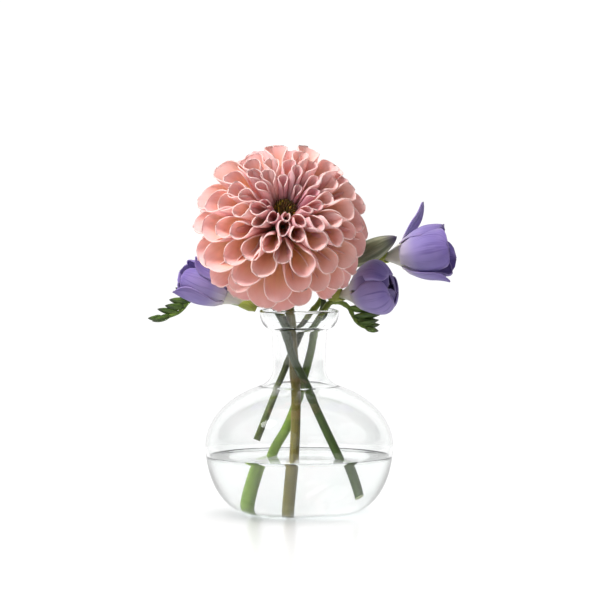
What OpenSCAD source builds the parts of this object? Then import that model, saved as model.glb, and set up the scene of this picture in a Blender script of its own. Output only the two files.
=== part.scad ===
// Glass bud vase with its water, one ball dahlia and three freesia sprays.
// Frame: millimetres, +Z up, origin at the centre of the vase's flat foot, -Y is the front.

/* [Vase] */
// Height of the vase to the top of its rim
vase_h = 109; // [100:1:120]
// Outside radius of the body at its widest
body_r = 50.2; // [46:0.1:54]
// Height of the widest point of the body
belly_z = 36; // [34:1:39]
// Outside radius of the neck at its foot
neck_r = 14; // [13.5:0.1:15]
// Height where the neck starts
neck_z = 77.8; // [76:0.1:79]
// Outside radius of the flared collar
collar_r = 21.2; // [19:0.1:24]
// Thickness of the glass wall
wall = 1.3; // [1.2:0.1:2]
// Thickness of the glass under the water
floor_t = 4.2; // [3:0.1:5]
// Height of the water surface
water_z = 30; // [20:1:35]

/* [Dahlia] */
// Radius of the bloom to the tips of its widest florets
bloom_r = 45.5; // [40:0.5:46]
// How far the bloom faces upwards, in degrees
bloom_tilt = 33; // [20:1:40]
// How far the bloom faces to the side, in degrees
bloom_turn = 6; // [0:1:12]
// Number of rolled ray florets
floret_count = 96; // [84:1:102]
// Radius of the dahlia's stem
dahlia_stem_r = 2.6; // [2:0.1:3]

/* [Freesias] */
// Radius of a freesia stem
freesia_stem_r = 2.1; // [1.6:0.1:2.3]
// Thickness of a tepal
tepal_t = 0.7; // [0.5:0.1:1]

/* [Hidden] */

$fn = 48;
golden_angle = 137.50776;

// Colours
glass_c = [0.85, 0.93, 0.95, 0.35];
water_c = [0.8, 0.92, 0.97, 0.35];
stem_c = [0.27, 0.42, 0.14];
dahlia_stem_c = [0.45, 0.44, 0.22];
leaf_c = [0.2, 0.33, 0.15];
petal_c = [0.95, 0.68, 0.62];
eye_c = [0.3, 0.29, 0.12];
tepal_c = [0.52, 0.42, 0.76];
tube_c = [0.86, 0.86, 0.72];
bud_c = [0.33, 0.45, 0.18];

// ---------- Vase outline ----------
foot_r = 26;          // flat part of the foot
shoulder_h = 35.5;    // height of the shoulder ellipse above the belly
fillet_r = 10;        // hollow bend from the shoulder into the neck
neck_top_r = 14.7;    // the neck widens a little upwards
collar_h = 10.8;      // height of the flared collar
lip_r = 1.1;          // radius of the fire-polished lip
arc_n = 14;           // points along each arc of the outline

// Points on an ellipse between two angles
function ellipse_arc(cx, cz, a, b, from, to, n) =
    [for (i = [0:n]) let (t = from + (to - from) * i / n) [cx + a * cos(t), cz + b * sin(t)]];

function reversed(list) = [for (i = [len(list) - 1:-1:0]) list[i]];

outer_outline = concat(
    [[0, 0]],
    ellipse_arc(foot_r, belly_z, body_r - foot_r, belly_z, -90, 0, arc_n),
    ellipse_arc(0, belly_z, body_r, shoulder_h, 6, 65.3, arc_n),
    ellipse_arc(neck_r + fillet_r, neck_z, fillet_r, fillet_r, 252, 180, 8),
    [[neck_top_r, vase_h - collar_h - 0.6]],
    ellipse_arc(neck_top_r, vase_h - lip_r, collar_r - neck_top_r, collar_h - lip_r, -78, 0, 10),
    ellipse_arc(collar_r - lip_r, vase_h - lip_r, lip_r, lip_r, 18, 90, 4)
);

inner_outline = concat(
    ellipse_arc(foot_r, belly_z, body_r - wall - foot_r, belly_z - floor_t, -90, 0, arc_n),
    ellipse_arc(0, belly_z, body_r - wall, shoulder_h - wall, 6, 65.3, arc_n),
    ellipse_arc(neck_r + fillet_r, neck_z, fillet_r + wall, fillet_r + wall, 252, 180, 8),
    [[neck_top_r - wall, vase_h - collar_h + 0.6]],
    ellipse_arc(neck_top_r - wall, vase_h - lip_r, collar_r - neck_top_r, collar_h - lip_r - wall,
        -74, 0, 10),
    ellipse_arc(collar_r - lip_r, vase_h - lip_r, lip_r, lip_r, 162, 100, 3)
);

// ---------- Paths and lofts ----------
function unit(v) = v / norm(v);

// Catmull-Rom curve through the points, with n steps between each pair
function curve_point(a, b, c, d, t) =
    0.5 * (2 * b + (c - a) * t + (2 * a - 5 * b + 4 * c - d) * t * t
    + (3 * b - a - 3 * c + d) * t * t * t);
function smooth_path(p, n) = let (last = len(p) - 1) concat(
    [for (i = [0:last - 1], k = [0:n - 1])
        curve_point(p[max(i - 1, 0)], p[i], p[i + 1], p[min(i + 2, last)], k / n)],
    [p[last]]);

function tangent(p, i) = unit(p[min(i + 1, len(p) - 1)] - p[max(i - 1, 0)]);

// A closed solid swept along a path. Each ring is an ellipse, wide[i] across and thick[i] through,
// with its thick side turned towards the vector face.
module loft(path, wide, thick, face, sides = 8) {
    last = len(path) - 1;
    points = [for (i = [0:last], k = [0:sides - 1])
        let (
            t = tangent(path, i),
            across = unit(cross(t, face)),
            through = cross(across, t),
            a = 360 * k / sides
        )
        path[i] + across * wide[i] * cos(a) + through * thick[i] * sin(a)];
    walls = [for (i = [0:last - 1], k = [0:sides - 1])
        let (n = (k + 1) % sides, b = i * sides, c = (i + 1) * sides)
        each [[b + k, c + n, c + k], [b + k, b + n, c + n]]];
    ends = [[for (k = [sides - 1:-1:0]) k], [for (k = [0:sides - 1]) last * sides + k]];
    polyhedron(points, concat(walls, ends));
}

// A round stalk that tapers from radius r0 to r1 along a path
module stalk(path, r0, r1, face = [1, 0, 0], sides = 10) {
    last = len(path) - 1;
    radii = [for (i = [0:last]) r0 + (r1 - r0) * i / last];
    loft(path, radii, radii, face, sides);
}

// A thin pointed blade, widest at 40% of its length
module blade(path, width, thickness, face, sides = 8) {
    last = len(path) - 1;
    tip = 0.12; // the shape never gets narrower than this share of its width
    shape = [for (i = [0:last]) max(tip, pow(sin(180 * pow(0.04 + 0.96 * i / last, 0.75)), 0.8))];
    wide = [for (s = shape) s * width / 2];
    thick = [for (s = shape) thickness / 2 * (0.5 + 0.5 * s)];
    loft(path, wide, thick, face, sides);
}

// Turns +Z to the direction d and moves to p
module aim(p, d) {
    translate(p) rotate([0, acos(d[2] / norm(d)), atan2(d[1], d[0])]) children();
}

// A spindle-shaped bud from base to tip
module bud(base, tip, r) {
    length = norm(tip - base);
    aim(base, tip - base)
        rotate_extrude()
            polygon(concat([[0, 0]], [for (i = [0:7]) let (s = i / 7)
                [max(0.001, r * pow(sin(180 * (0.12 + 0.86 * s)), 0.8)), length * s]], [[0, length]]));
}

// ---------- Vase ----------
module glass_vase() {
    color(glass_c)
        rotate_extrude()
            polygon(concat(outer_outline, reversed(inner_outline), [[0, floor_t]]));
}

// The water fills the body to water_z, with a clear way round each stem that stands in it
module water() {
    gap = 0.05;       // between water and glass, so that the two solids only meet
    round_stem = 0.5; // between water and stem
    below = [for (p = inner_outline) if (p[1] < water_z) [p[0] - gap, p[1] + gap]];
    top_r = lookup(water_z, [for (p = inner_outline) if (p[1] <= belly_z) [p[1], p[0]]]) - gap;
    color(water_c)
        difference() {
            rotate_extrude() polygon(concat([[0, floor_t + gap]], below, [[top_r, water_z], [0, water_z]]));
            stem_way(dahlia_path, dahlia_way, dahlia_stem_r + round_stem);
            stem_way(a_path, a_way, freesia_stem_r + round_stem);
            stem_way(b_path, b_way, freesia_stem_r + round_stem);
        }
}

// Everything that a stem's submerged end passes through as it lifts out
module stem_way(path, way, r) {
    wet = [for (p = path) if (p[2] < water_z + 6) p];
    foot = wet[0];
    shank = wet[len(wet) - 1] - foot;
    hull()
        for (d = [shank, way * shank[2]])
            aim(foot - unit(d), d) cylinder(r = r, h = norm(d) + 4, $fn = 24);
}

// ---------- Stems ----------
// Each stem's cut end, and the way that it lifts out of the vase
dahlia_foot = [-5.2, -6.6, 5.2];
dahlia_way = [0.02, 0.09, 1];
a_foot = [28.6, -17.6, 13];
a_way = [-0.41, 0.165, 1];
b_foot = [-21, 9.6, 8];
b_way = [0.27, -0.07, 1];
c_foot = [-22.8, 1, 39];
c_way = [0.42, 0.1, 1];

dahlia_path = smooth_path([
    dahlia_foot, [-2.7, -4.3, 31], [-1.8, -2.4, 55], [-1.9, -1.5, 67], [-3.4, 0.2, 88],
    [-4.2, 1.4, 100], [-5.6, 1.8, 112], [-7.8, 0.8, 123], [-9.4, -4, 133], [-10, -10.6, 140.4],
    [-10.2, -17.8, 145.9]
], 3);
a_path = smooth_path([
    a_foot, [21, -14.6, 31], [13.4, -11.8, 47], [7.4, -9.7, 60], [2.1, -7.5, 72.4], [-2, -6.1, 81],
    [-4.8, -4.9, 88.6], [-6.4, -3.2, 97], [-8.8, -0.8, 104.5]
], 3);
b_path = smooth_path([
    b_foot, [-14.4, 7.6, 31], [-6.6, 6.2, 45.5], [-1, 5.2, 60], [2.5, 4.3, 72], [6.4, 3.4, 87],
    [8.3, 2.7, 97.5], [11.2, 2.4, 104.5]
], 3);
c_path = smooth_path([
    c_foot, [-14.6, 3, 59.6], [-11.6, 3.4, 67.3], [-8.2, 4.2, 76], [-5, 5.6, 84], [-1.6, 7, 90.4],
    [0.8, 7.8, 96.4], [3.4, 8.8, 102]
], 3);

module dahlia_stem() {
    color(dahlia_stem_c) stalk(dahlia_path, dahlia_stem_r, dahlia_stem_r * 0.92);
}

// ---------- Dahlia ----------
bloom_centre = [-8.9, -30, 154];
bloom_axis = [sin(bloom_turn) * cos(bloom_tilt), -cos(bloom_turn) * cos(bloom_tilt), sin(bloom_tilt)];
core_r = 12;            // florets spring from this radius
first_angle = 22;       // from the bloom's axis to its first floret
last_angle = 105;       // and to its last one, which bends back
floret_t = 0.7;         // thickness of a floret's wall
floret_fill = 0.8;      // share of the room between neighbours that a floret takes
band = 16;              // florets in each node

function floret_angle(i) = first_angle + (last_angle - first_angle) * i / (floret_count - 1);
// How far out a floret's tip reaches: the bloom is flattened towards its eye
function floret_reach(a) = bloom_r - 15.5 * pow(max(cos(a), 0), 2.5) - 4 * exp(-pow(a / 20, 2));
// Half the cone that a floret may fill, in degrees
function floret_cone(a) = let (spacing = (last_angle - first_angle) / floret_count * PI / 180)
    floret_fill * sqrt(2 * sin(a) * spacing) * 180 / PI;

module bloom_place() {
    aim(bloom_centre, bloom_axis) children();
}

// One floret: a thin rolled trumpet from the core to the bloom's surface
module floret(i) {
    a = floret_angle(i);
    reach = floret_reach(a);
    r0 = core_r * tan(floret_cone(a));
    r1 = reach * tan(floret_cone(a));
    t0 = min(floret_t, r0 * 0.5);
    middle = (core_r + reach) / 2;
    rm = (r0 + r1) / 2;
    rotate([0, a, i * golden_angle])
        rotate_extrude()
            polygon([
                [r0, core_r - 1], [rm, middle], [r1, reach - 3], [r1 - 0.5, reach],
                [r1 - 0.5 - t0, reach], [r1 - floret_t, reach - 3], [rm - t0, middle], [r0 - t0, core_r - 1]
            ]);
}

module dahlia_florets(n) {
    color(petal_c)
        bloom_place()
            for (i = [(n - 1) * band : min(n * band, floret_count) - 1]) floret(i);
}

module dahlia_receptacle() {
    back = 15; // length of the conical part towards the stem
    color(leaf_c)
        bloom_place() {
            sphere(r = core_r);
            translate([0, 0, -back]) cylinder(r1 = 5, r2 = core_r * 0.8, h = back - 4);
        }
}

// The eye: a dome of closed florets in the middle of the bloom
module dahlia_eye() {
    count = 30;
    spread = 2.35; // degrees, times the square root of a closed floret's number
    dome_top = 18;
    closed_h = 4.5; // height of a closed floret
    color(eye_c)
        bloom_place() {
            intersection() {
                sphere(r = dome_top);
                translate([0, 0, core_r - 0.2]) cylinder(r1 = 3.2, r2 = 4.6, h = 8);
            }
            for (i = [1:count])
                rotate([0, spread * sqrt(i), i * golden_angle])
                    translate([0, 0, dome_top - 1]) cylinder(r1 = 0.5, r2 = 0.12, h = closed_h);
        }
}

// Green bracts behind the bloom
module dahlia_calyx() {
    count = 8;
    ridge = smooth_path([
        [4.9, 0, -14.2], [10, 0, -14.6], [15, 0, -13.4], [20, 0, -13.6], [24, 0, -16]
    ], 2);
    color(leaf_c)
        bloom_place()
            for (i = [0:count - 1])
                rotate([0, 0, 360 / count * i]) blade(ridge, 7.5, 1, [0, 0, 1]);
}

// ---------- Freesia parts ----------
// Radius of the perianth at share s of its length: a narrow tube that opens into a goblet
function goblet(s, r) = 1.7 + 1.1 * s + (r - 2.8) * pow(sin(90 * min(1, max(0, (s - 0.16) / 0.6))), 1.5)
    - 0.16 * r * pow(max(0, (s - 0.72) / 0.28), 2);
tube_end = 0.4;      // share of the length where the tepals part

module perianth_tube(length, r) {
    n = 6;
    outside = [for (i = [0:n]) let (s = tube_end * i / n) [goblet(s, r), length * s]];
    color(tube_c)
        rotate_extrude()
            polygon(concat(outside, [for (i = [n:-1:0]) outside[i] - [tepal_t, 0]]));
}

// Three tepals, each a thin curved shell. It springs from the end of the tube, steps out by the
// given distance and flares towards its rounded tip.
module tepals(length, r, width, out, flare, start) {
    rings = 12; // along a tepal
    steps = 8;  // across it
    loop = 2 * steps + 2;
    widest = 0.85; // sine of the widest half angle that a tepal may wrap
    z0 = tube_end * length + 0.05;
    points = [for (i = [0:rings], k = [0:loop - 1])
        let (
            u = i / rings,
            s = tube_end + (1 - tube_end) * u,
            radius = goblet(s, r) + (i > 0 ? out : 0) + flare * u * u,
            half_width = width / 2 * pow(sin(180 * (0.04 + 0.94 * u)), 0.7),
            half_angle = asin(min(widest, half_width / radius)),
            inner = k > steps,
            a = half_angle * (2 * (inner ? loop - 1 - k : k) / steps - 1),
            q = radius - (inner ? tepal_t : 0)
        )
        [q * cos(a), q * sin(a), z0 + (length - z0) * u]];
    walls = [for (i = [0:rings - 1], k = [0:loop - 1])
        let (n = (k + 1) % loop, b = i * loop, c = (i + 1) * loop)
        each [[b + k, c + k, c + n], [b + k, c + n, b + n]]];
    bottom = [for (k = [0:steps - 1]) [k, k + 1, loop - 2 - k, loop - 1 - k]];
    top = [for (f = bottom) [for (j = [3:-1:0]) rings * loop + f[j]]];
    color(tepal_c)
        for (k = [0:2])
            rotate([0, 0, start + 120 * k]) polyhedron(points, concat(walls, bottom, top));
}

// Three stamens and the style, which stand together in the throat of the tube
module stamens(length) {
    foot = length * 0.12;
    filament = length * 0.56;
    anther = length * 0.13;
    color([0.93, 0.9, 0.75]) {
        for (k = [0:2])
            rotate([0, 0, 30 + 120 * k])
                translate([0.8, 0, foot]) rotate([0, 4, 0]) {
                    cylinder(r = 0.35, h = filament);
                    translate([0, 0, filament]) cylinder(r = 0.7, h = anther);
                }
        translate([0, 0, foot]) cylinder(r = 0.4, h = length * 0.74);
    }
}

// Green cup at the foot of a floret
module bract_cup(length) {
    color(bud_c)
        rotate_extrude()
            polygon([
                [1.75, -1.5], [2.5, -0.8], [2.9, length * 0.45], [2.7, length],
                [2.35, length], [2.3, length * 0.45], [1.75, 0.2]
            ]);
}

module spike(path, r0, r1) {
    color(stem_c) stalk(path, r0, r1, [0, 0.2, 1], 8);
}

// ---------- Freesia a, on the left ----------
a_base = [-24.2, 6.6, 109.8];
a_axis = [-37, -1, 17];
a_length = 43;
a_r = 10.5;
a_spike = smooth_path([
    [-8.8, -0.8, 104.5], [-11.6, 2, 109], [-17, 5.4, 111.4], [-24.6, 9, 111.2], [-34, 15, 111.6],
    [-46, 18.5, 115], [-54.5, 17, 115.4], [-59.4, 14, 112.4], [-65, 12, 106.6], [-73, 11, 104]
], 2);
// Each bud: the point of the spike that it grows from, the way to its tip, and its radius
a_buds = [
    [13, [-9.5, -1, 5.8], 2.1],
    [14, [-10.6, -2, 1.2], 1.9],
    [15, [-10.2, -2.4, 1], 1.8],
    [16, [-11.4, 0.6, 2], 1.7],
    [17, [-9.6, -2, -2.8], 1.6],
    [18, [-8.4, 0.8, -0.4], 1.5]
];

module freesia_a_stem() {
    color(stem_c) stalk(a_path, freesia_stem_r, freesia_stem_r * 0.88);
}

module freesia_a_leaf() {
    ridge = smooth_path([
        [-6.8, -5.2, 91.5], [-7.8, -4.9, 96], [-9.2, -3.9, 101], [-11.8, -2.4, 106], [-14.8, -1.2, 111]
    ], 3);
    color(leaf_c) blade(ridge, 4.2, 0.8, [0.7, 0.8, 0.2]);
}

// ---------- Freesia b, low on the right ----------
b_base = [17.4, 2.2, 115.6];
b_axis = [31, -15, 6.5];
b_length = 38;
b_r = 14;
b_spike = smooth_path([
    [11.2, 2.4, 104.5], [13.6, 2.8, 109], [17, 3.4, 112.6], [22, 5, 112.4], [26.6, 5, 109.6],
    [29, 3.4, 105], [31.6, 1.4, 101.4], [35.4, 0.4, 99.2]
], 2);
b_buds = [
    [8, [15, -1, -1], 2],
    [10, [15, -3, 1.6], 1.9],
    [11, [11, 1.5, 0.4], 1.7],
    [12, [11, -1.6, 2], 1.6],
    [13, [9.5, 3, 0.6], 1.6],
    [14, [7, -1, -1.8], 1.5]
];

module freesia_b_stem() {
    color(stem_c) stalk(b_path, freesia_stem_r, freesia_stem_r * 0.88);
}

module freesia_b_leaf() {
    ridge = smooth_path([[10.9, 4.2, 101.8], [12.6, 4.8, 106], [13.2, 6.2, 111], [12.4, 7.6, 116]], 3);
    color(leaf_c) blade(ridge, 4.6, 0.9, [0.2, 1, 0.1]);
}

// ---------- Freesia c, high on the right ----------
c_base = [39.5, 23, 135];
c_axis = [34, -7, 5];
c_length = 42;
c_r = 14.5;
c_spike = smooth_path([
    [3.4, 8.8, 102], [6.2, 11, 106.6], [10, 14, 111], [14, 17, 117], [17.6, 19.6, 124.6],
    [22.6, 21.6, 130.5], [30, 23, 133.4], [38.2, 23.2, 134.8]
], 2);
c_bud = [[25, 18.5, 133], [52.5, 12.5, 147.5], 6];

module freesia_c_stem() {
    color(stem_c) stalk(c_path, freesia_stem_r * 0.88, freesia_stem_r * 0.8);
}

// A large closed bud on its short green cup
module freesia_c_bud() {
    color([0.45, 0.46, 0.36]) {
        bud(c_bud[0], c_bud[1], c_bud[2]);
        aim(c_bud[0] + unit(c_bud[0] - c_bud[1]) * 3.6, c_bud[1] - c_bud[0])
            cylinder(r1 = 1.3, r2 = 2.2, h = 4.6);
    }
}

module buds(path, list) {
    color(bud_c)
        for (b = list) bud(path[b[0]], path[b[0]] + b[1], b[2]);
}

glass_vase();
water();
dahlia_stem();
dahlia_calyx();
dahlia_receptacle();
dahlia_eye();
for (n = [1:6])
    dahlia_florets(n);

freesia_a_stem();
freesia_a_leaf();
spike(a_spike, 1.7, 0.8);  // freesia_a_spike
aim(a_base, a_axis) bract_cup(8);  // freesia_a_bract
aim(a_base, a_axis) perianth_tube(a_length, a_r);  // freesia_a_tube
aim(a_base, a_axis) tepals(a_length, a_r, 17, tepal_t + 0.5, 1, 20);  // freesia_a_outer_tepals
aim(a_base, a_axis) tepals(a_length, a_r, 15, 0, 0, 80);  // freesia_a_inner_tepals
aim(a_base, a_axis) stamens(a_length);  // freesia_a_stamens
buds(a_spike, a_buds);  // freesia_a_buds

freesia_b_stem();
freesia_b_leaf();
spike(b_spike, 1.7, 0.8);  // freesia_b_spike
aim(b_base, b_axis) bract_cup(7);  // freesia_b_bract
aim(b_base, b_axis) perianth_tube(b_length, b_r);  // freesia_b_tube
aim(b_base, b_axis) tepals(b_length, b_r, 24, tepal_t + 0.5, 0.6, 50);  // freesia_b_outer_tepals
aim(b_base, b_axis) tepals(b_length, b_r, 20, 0, -1, 110);  // freesia_b_inner_tepals
aim(b_base, b_axis) stamens(b_length);  // freesia_b_stamens
buds(b_spike, b_buds);  // freesia_b_buds

freesia_c_stem();
spike(c_spike, 1.65, 1.3);  // freesia_c_spike
aim(c_base, c_axis) bract_cup(9);  // freesia_c_bract
aim(c_base, c_axis) perianth_tube(c_length, c_r);  // freesia_c_tube
aim(c_base, c_axis) tepals(c_length, c_r, 24, tepal_t + 0.5, 2.5, 90);  // freesia_c_outer_tepals
aim(c_base, c_axis) tepals(c_length, c_r, 22, 0, 1, 30);  // freesia_c_inner_tepals
aim(c_base, c_axis) stamens(c_length);  // freesia_c_stamens
freesia_c_bud();
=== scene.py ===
import bpy
import math
import random
import numpy as np
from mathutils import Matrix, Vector


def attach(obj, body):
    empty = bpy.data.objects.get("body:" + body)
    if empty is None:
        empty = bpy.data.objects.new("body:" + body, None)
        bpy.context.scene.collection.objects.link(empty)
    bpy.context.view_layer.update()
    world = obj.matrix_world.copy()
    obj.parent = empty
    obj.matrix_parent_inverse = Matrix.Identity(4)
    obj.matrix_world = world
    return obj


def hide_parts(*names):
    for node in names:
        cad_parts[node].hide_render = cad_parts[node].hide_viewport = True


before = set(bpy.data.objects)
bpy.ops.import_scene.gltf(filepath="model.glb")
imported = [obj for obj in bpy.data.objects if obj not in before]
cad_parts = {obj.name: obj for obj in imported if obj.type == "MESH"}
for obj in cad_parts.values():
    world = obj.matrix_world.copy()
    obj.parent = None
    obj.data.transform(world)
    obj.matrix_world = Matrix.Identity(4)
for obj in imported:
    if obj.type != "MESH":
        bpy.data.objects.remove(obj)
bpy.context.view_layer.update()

MM = 0.001
GOLDEN = 137.50776
rng = random.Random(7)


# ---------- Numbers and paths, in millimetres ----------
def smooth_path(points, steps):
    """Catmull-Rom curve through the points, with steps between each pair."""
    p = [np.array(q, float) for q in points]
    last = len(p) - 1
    out = []
    for i in range(last):
        a, b, c, d = p[max(i - 1, 0)], p[i], p[i + 1], p[min(i + 2, last)]
        for k in range(steps):
            t = k / steps
            out.append(0.5 * (2 * b + (c - a) * t + (2 * a - 5 * b + 4 * c - d) * t * t
                              + (3 * b - a - 3 * c + d) * t ** 3))
    return np.array(out + [p[last]])


def unit(v):
    v = np.asarray(v, float)
    return v / np.linalg.norm(v)


def turn_z(points, degrees):
    c, s = math.cos(math.radians(degrees)), math.sin(math.radians(degrees))
    return np.asarray(points) @ np.array([[c, s, 0], [-s, c, 0], [0, 0, 1]])


def aim(points, base, direction):
    """Turns +Z to direction and moves to base."""
    d = unit(direction)
    tilt = math.acos(d[2])
    c, s = math.cos(tilt), math.sin(tilt)
    tilted = np.asarray(points) @ np.array([[c, 0, -s], [0, 1, 0], [s, 0, c]])
    return turn_z(tilted, math.degrees(math.atan2(d[1], d[0]))) + np.array(base, float)


def smoothstep(lo, hi, x):
    t = np.clip((np.asarray(x, float) - lo) / (hi - lo), 0, 1)
    return t * t * (3 - 2 * t)


# ---------- Meshes ----------
KEYS = ("along", "across", "edge", "side", "ring", "tint")
FAR_FROM_EDGE = 5.0


def wall_faces(rings, sides):
    """Faces between rings of points that are listed from the bottom up."""
    faces = []
    for i in range(rings - 1):
        low = i * sides
        high = low + sides
        for k in range(sides):
            following = (k + 1) % sides
            faces.append((low + k, low + following, high + following, high + k))
    return faces


class Parts:
    """Collects grids of points into one mesh, with values that the materials read."""

    def __init__(self):
        self.verts, self.faces, self.count = [], [], 0
        self.values = {k: [] for k in KEYS}

    def add(self, verts, faces, **values):
        verts = np.asarray(verts, float).reshape(-1, 3)
        self.verts.append(verts)
        self.faces += [tuple(i + self.count for i in f) for f in faces]
        for k in KEYS:
            value = np.asarray(values.get(k, 0.0), float).reshape(-1)
            self.values[k].append(np.broadcast_to(value, (len(verts),)))
        self.count += len(verts)

    def tube(self, path, radii, sides, face=(1, 0, 0), ribs=0.0, tint=0.0):
        """A stalk along a path, closed at both ends. ribs gives it five lengthways ridges."""
        n = len(path)
        radii = np.broadcast_to(np.asarray(radii, float), (n,))
        pts, along = [], []
        for i in range(n):
            t = unit(path[min(i + 1, n - 1)] - path[max(i - 1, 0)])
            x = unit(np.cross(t, face))
            y = np.cross(x, t)
            for k in range(sides):
                a = 2 * math.pi * k / sides
                r = radii[i] * (1 + ribs * math.cos(5 * a))
                pts.append(path[i] + x * r * math.cos(a) + y * r * math.sin(a))
                along.append(i / (n - 1))
        angle = np.tile(np.arange(sides) / sides, n)
        self.add(pts, [(a, d, c, b) for a, b, c, d in wall_faces(n, sides)],
                 along=along, across=angle, edge=FAR_FROM_EDGE, tint=tint)
        for i, flip in ((0, False), (n - 1, True)):
            rim = np.array(pts[i * sides:(i + 1) * sides])
            fan = [(k, (k + 1) % sides, sides) for k in range(sides)]
            self.add(np.vstack([rim, rim.mean(0)]), [f[::-1] if flip else f for f in fan],
                     along=i / (n - 1), across=0.5, side=1.0, tint=tint)

    def sheet(self, grid, thickness, edge, ring=0.0, tint=0.0, flip=False):
        """A thin sheet with two faces and an edge, from a grid of points along and across it."""
        n, m = grid.shape[:2]
        du = np.gradient(grid, axis=0)
        dv = np.gradient(grid, axis=1)
        normal = np.cross(du, dv)
        size = np.linalg.norm(normal, axis=2, keepdims=True)
        normal = normal / np.where(size < 1e-9, 1, size)
        if flip:
            normal = -normal
        half = (np.broadcast_to(thickness, (n, m)) / 2)[..., None]
        front, back = grid + normal * half, grid - normal * half
        along = np.repeat(np.linspace(0, 1, n), m)
        across = np.tile(np.linspace(-1, 1, m), n)
        edge = np.broadcast_to(edge, (n, m)).reshape(-1)
        quads = [(i * m + k, i * m + k + 1, (i + 1) * m + k + 1, (i + 1) * m + k)
                 for i in range(n - 1) for k in range(m - 1)]
        other = [f[::-1] for f in quads]
        back_faces = [tuple(q + n * m for q in f) for f in (quads if not flip else other)]
        faces = (other if not flip else quads) + back_faces
        border = (list(range(m)) + [i * m + m - 1 for i in range(1, n)]
                  + [(n - 1) * m + k for k in range(m - 2, -1, -1)] + [i * m for i in range(n - 2, 0, -1)])
        count = len(border)
        for j in range(count):
            a, b = border[j], border[(j + 1) % count]
            f = (a, b, b + n * m, a + n * m)
            faces.append(f if not flip else f[::-1])
        self.add(np.vstack([front.reshape(-1, 3), back.reshape(-1, 3)]), faces,
                 along=np.tile(along, 2), across=np.tile(across, 2), edge=np.tile(edge, 2),
                 side=np.repeat([1.0, 0.0], n * m), ring=ring, tint=tint)

    def place(self, start, move):
        """Moves everything added since the given list position."""
        for i in range(start, len(self.verts)):
            self.verts[i] = move(self.verts[i])

    def object(self, name, material, body, nodes):
        mesh = bpy.data.meshes.new(name)
        mesh.from_pydata((np.vstack(self.verts) * MM).tolist(), [], self.faces)
        for k in KEYS:
            mesh.attributes.new(k, "FLOAT", "POINT").data.foreach_set(
                "value", np.concatenate(self.values[k]).astype(np.float32))
        mesh.polygons.foreach_set("use_smooth", [True] * len(mesh.polygons))
        mesh.update()
        obj = bpy.data.objects.new(name, mesh)
        bpy.context.scene.collection.objects.link(obj)
        mesh.materials.append(material)
        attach(obj, body)
        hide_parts(*nodes)
        return obj


# ---------- Materials ----------
def rgb(r, g, b):
    """A linear colour from display values of 0 to 255."""
    linear = [((v / 255 + 0.055) / 1.055) ** 2.4 if v > 10 else v / 255 / 12.92 for v in (r, g, b)]
    return (*linear, 1.0)


class Nodes:
    """Short ways to write the node tree of a material or a world."""

    def __init__(self, owner):
        owner.use_nodes = True
        self.owner = owner
        self.tree = owner.node_tree
        self.tree.nodes.clear()

    def node(self, kind, **settings):
        n = self.tree.nodes.new(kind)
        for k, v in settings.items():
            setattr(n, k, v)
        return n

    def set(self, socket, value):
        if isinstance(value, bpy.types.NodeSocket):
            self.tree.links.new(value, socket)
        else:
            socket.default_value = value

    def value(self, name):
        return self.node("ShaderNodeAttribute", attribute_name=name).outputs["Fac"]

    def math(self, operation, a, b=0.0, c=0.0):
        n = self.node("ShaderNodeMath", operation=operation)
        for socket, v in zip(n.inputs, (a, b, c)):
            self.set(socket, v)
        return n.outputs[0]

    def step(self, x, lo, hi, to_lo=0.0, to_hi=1.0):
        n = self.node("ShaderNodeMapRange", interpolation_type="SMOOTHSTEP")
        for socket, v in zip(n.inputs, (x, lo, hi, to_lo, to_hi)):
            self.set(socket, v)
        return n.outputs[0]

    def mix(self, factor, a, b, blend="MIX"):
        n = self.node("ShaderNodeMix", data_type="RGBA", blend_type=blend)
        self.set(n.inputs["Factor"], factor)
        self.set(n.inputs[6], a)
        self.set(n.inputs[7], b)
        return n.outputs[2]

    def noise(self, scale, detail=3.0, stretch=(1, 1, 1), vector=None):
        coords = vector or self.node("ShaderNodeTexCoord").outputs["Object"]
        mapping = self.node("ShaderNodeMapping")
        mapping.inputs["Scale"].default_value = stretch
        self.set(mapping.inputs["Vector"], coords)
        n = self.node("ShaderNodeTexNoise")
        self.set(n.inputs["Vector"], mapping.outputs[0])
        n.inputs["Scale"].default_value = scale
        n.inputs["Detail"].default_value = detail
        return n.outputs["Fac"]

    def streaks(self, along_scale, across_scale):
        """Noise drawn out along a sheet or a stalk."""
        xyz = self.node("ShaderNodeCombineXYZ")
        self.set(xyz.inputs[0], self.math("MULTIPLY", self.value("along"), along_scale))
        self.set(xyz.inputs[1], self.math("MULTIPLY", self.value("across"), across_scale))
        self.set(xyz.inputs[2], self.math("MULTIPLY", self.value("tint"), 37.0))
        return self.noise(1.0, 2.0, vector=xyz.outputs[0])

    def bump(self, height, strength, distance):
        n = self.node("ShaderNodeBump")
        n.inputs["Strength"].default_value = strength
        n.inputs["Distance"].default_value = distance
        self.set(n.inputs["Height"], height)
        return n.outputs[0]

    def principled(self, color, roughness, normal=None, **constants):
        n = self.node("ShaderNodeBsdfPrincipled")
        self.set(n.inputs["Base Color"], color)
        self.set(n.inputs["Roughness"], roughness)
        if normal:
            self.set(n.inputs["Normal"], normal)
        for k, v in constants.items():
            n.inputs[k.replace("_", " ")].default_value = v
        return n.outputs[0]

    def leafy(self, surface, color, share):
        """Lets light through a thin petal or leaf."""
        through = self.node("ShaderNodeBsdfTranslucent")
        self.set(through.inputs["Color"], color)
        n = self.node("ShaderNodeMixShader")
        self.set(n.inputs[0], share)
        self.set(n.inputs[1], surface)
        self.set(n.inputs[2], through.outputs[0])
        return n.outputs[0]

    def finish(self, surface):
        self.set(self.node("ShaderNodeOutputMaterial").inputs["Surface"], surface)
        return self.owner


def new_material(name):
    return Nodes(bpy.data.materials.new(name))


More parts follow.
